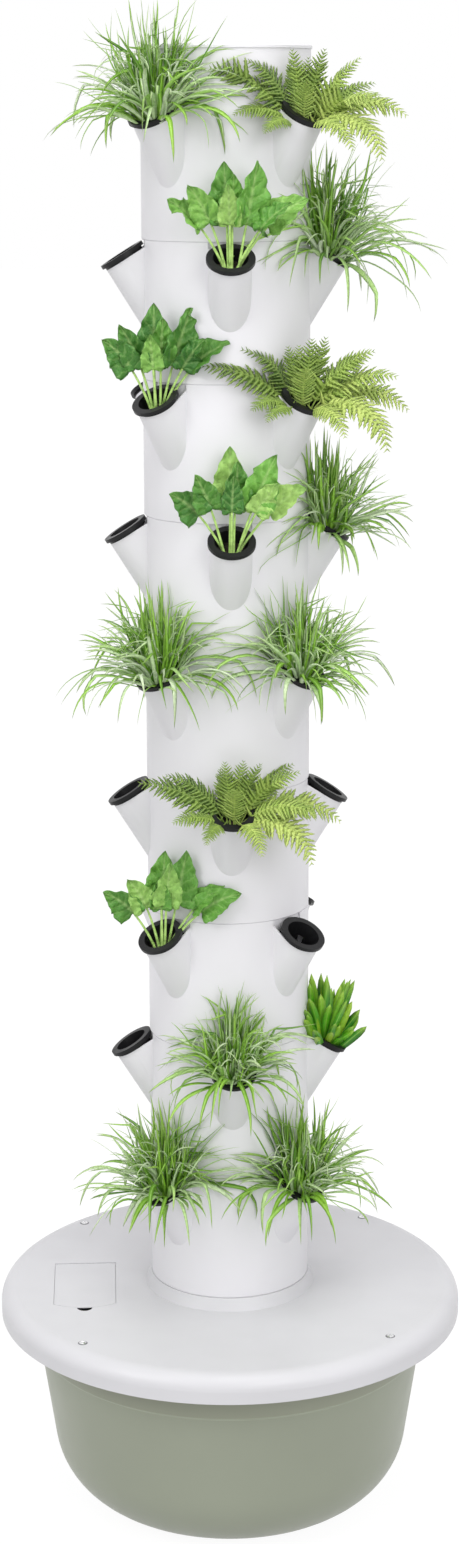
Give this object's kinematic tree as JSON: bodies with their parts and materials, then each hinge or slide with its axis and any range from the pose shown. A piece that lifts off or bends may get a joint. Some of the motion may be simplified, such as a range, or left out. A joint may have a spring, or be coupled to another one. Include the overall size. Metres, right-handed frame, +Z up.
{
  "type": "hydroponic tower",
  "caption": "White vertical hydroponic tower with tilted planting cups, black net pots and leafy plants, on a round sage-green water reservoir with a white lid.",
  "frame": {"origin": "on the floor under the tower's axis, at the middle of the tub's foot", "axes": "+Z up along the tower, -Y towards the front as pictured, +X to the right"},
  "size_m": [0.589, 0.589, 1.8897],
  "materials": {
    "tower_white": "matte moulded plastic",
    "lid_white": "satin moulded plastic",
    "tub_sage": "satin sage-green plastic",
    "pot_black": "matte black plastic",
    "screw_metal": "bright steel",
    "pin_steel": "drawn steel",
    "shaft_ceramic": "ground ceramic",
    "inner_grey": "pale grey pipe plastic",
    "pump_black": "matte black plastic",
    "foot_rubber": "soft black rubber",
    "grass_leaf": "narrow green leaves on a root plug",
    "fern_leaf": "feathery green fronds on a root plug",
    "spinach_leaf": "broad green leaves on a root plug",
    "herb_leaf": "small green leaves on a root plug"
  },
  "bodies": {
    "tower": {"tier_module_1": "tower_white", "tier_module_2": "tower_white", "tier_module_3": "tower_white", "tier_module_4": "tower_white", "tier_module_5": "tower_white", "tier_module_6": "tower_white", "tier_module_7": "tower_white", "tier_module_8": "tower_white", "tier_module_9": "tower_white", "top_collar": "tower_white", "reservoir_lid": "lid_white", "lid_screws": "screw_metal", "reservoir_tub": "tub_sage", "water_distributor": "inner_grey", "riser_pipe_lower": "inner_grey", "riser_pipe_middle": "inner_grey", "riser_pipe_upper": "inner_grey", "riser_couplers": "inner_grey", "pump_outlet_adapter": "inner_grey", "pump_housing": "pump_black", "pump_front_cover": "pump_black", "impeller_shaft": "shaft_ceramic", "suction_cups": "foot_rubber", "net_pots_planted": "pot_black", "net_pots_rear": "pot_black", "grass_tier_1_left": "grass_leaf", "fern_tier_1_right": "fern_leaf", "spinach_tier_2_front": "spinach_leaf", "grass_tier_2_right": "grass_leaf", "spinach_tier_3_left": "spinach_leaf", "fern_tier_3_right": "fern_leaf", "spinach_tier_4_front": "spinach_leaf", "grass_tier_4_right": "grass_leaf", "grass_tier_5_left": "grass_leaf", "grass_tier_5_right": "grass_leaf", "fern_tier_6_front": "fern_leaf", "spinach_tier_7_left": "spinach_leaf", "grass_tier_8_front": "grass_leaf", "herb_tier_8_right": "herb_leaf", "grass_tier_9_left": "grass_leaf", "grass_tier_9_right": "grass_leaf"},
    "hatch": {"hatch_cover": "lid_white", "hatch_hinge_pin": "pin_steel"},
    "cap": {"top_cap": "tower_white"},
    "impeller": {"pump_impeller": "inner_grey"},
    "dial": {"flow_dial": "pump_black"},
    "pot_tier_2_left": {"net_pot_tier_2_left": "pot_black"},
    "pot_tier_4_left": {"net_pot_tier_4_left": "pot_black"},
    "pot_tier_6_left": {"net_pot_tier_6_left": "pot_black"},
    "pot_tier_6_right": {"net_pot_tier_6_right": "pot_black"},
    "pot_tier_7_right": {"net_pot_tier_7_right": "pot_black"},
    "pot_tier_8_left": {"net_pot_tier_8_left": "pot_black"}
  },
  "joints": [
    {"name": "hatch_hinge", "type": "hinge", "parent": "tower", "child": "hatch", "pos_m": [-0.187, 0.051, 0.285], "axis": [-1, 0, 0], "range_deg": [0, 90]},
    {"name": "cap_lift", "type": "slide", "parent": "tower", "child": "cap", "axis": [0, 0, 1], "range_m": [0, 0.08]},
    {"name": "impeller_spin", "type": "hinge", "parent": "tower", "child": "impeller", "pos_m": [0, -0.0015, 0.0375], "axis": [0, 1, 0], "continuous": true},
    {"name": "dial_turn", "type": "hinge", "parent": "tower", "child": "dial", "pos_m": [0, -0.026, 0.0525], "axis": [0, -1, 0], "range_deg": [0, 90]},
    {"name": "pot_tier_2_left_lift", "type": "slide", "parent": "tower", "child": "pot_tier_2_left", "axis": [-0.5299, 0, 0.848], "range_m": [0, 0.07]},
    {"name": "pot_tier_4_left_lift", "type": "slide", "parent": "tower", "child": "pot_tier_4_left", "axis": [-0.5299, 0, 0.848], "range_m": [0, 0.07]},
    {"name": "pot_tier_6_left_lift", "type": "slide", "parent": "tower", "child": "pot_tier_6_left", "axis": [-0.5299, 0, 0.848], "range_m": [0, 0.07]},
    {"name": "pot_tier_6_right_lift", "type": "slide", "parent": "tower", "child": "pot_tier_6_right", "axis": [0.5299, 0, 0.848], "range_m": [0, 0.07]},
    {"name": "pot_tier_7_right_lift", "type": "slide", "parent": "tower", "child": "pot_tier_7_right", "axis": [0.3747, -0.3747, 0.848], "range_m": [0, 0.07]},
    {"name": "pot_tier_8_left_lift", "type": "slide", "parent": "tower", "child": "pot_tier_8_left", "axis": [-0.5299, 0, 0.848], "range_m": [0, 0.07]}
  ]
}
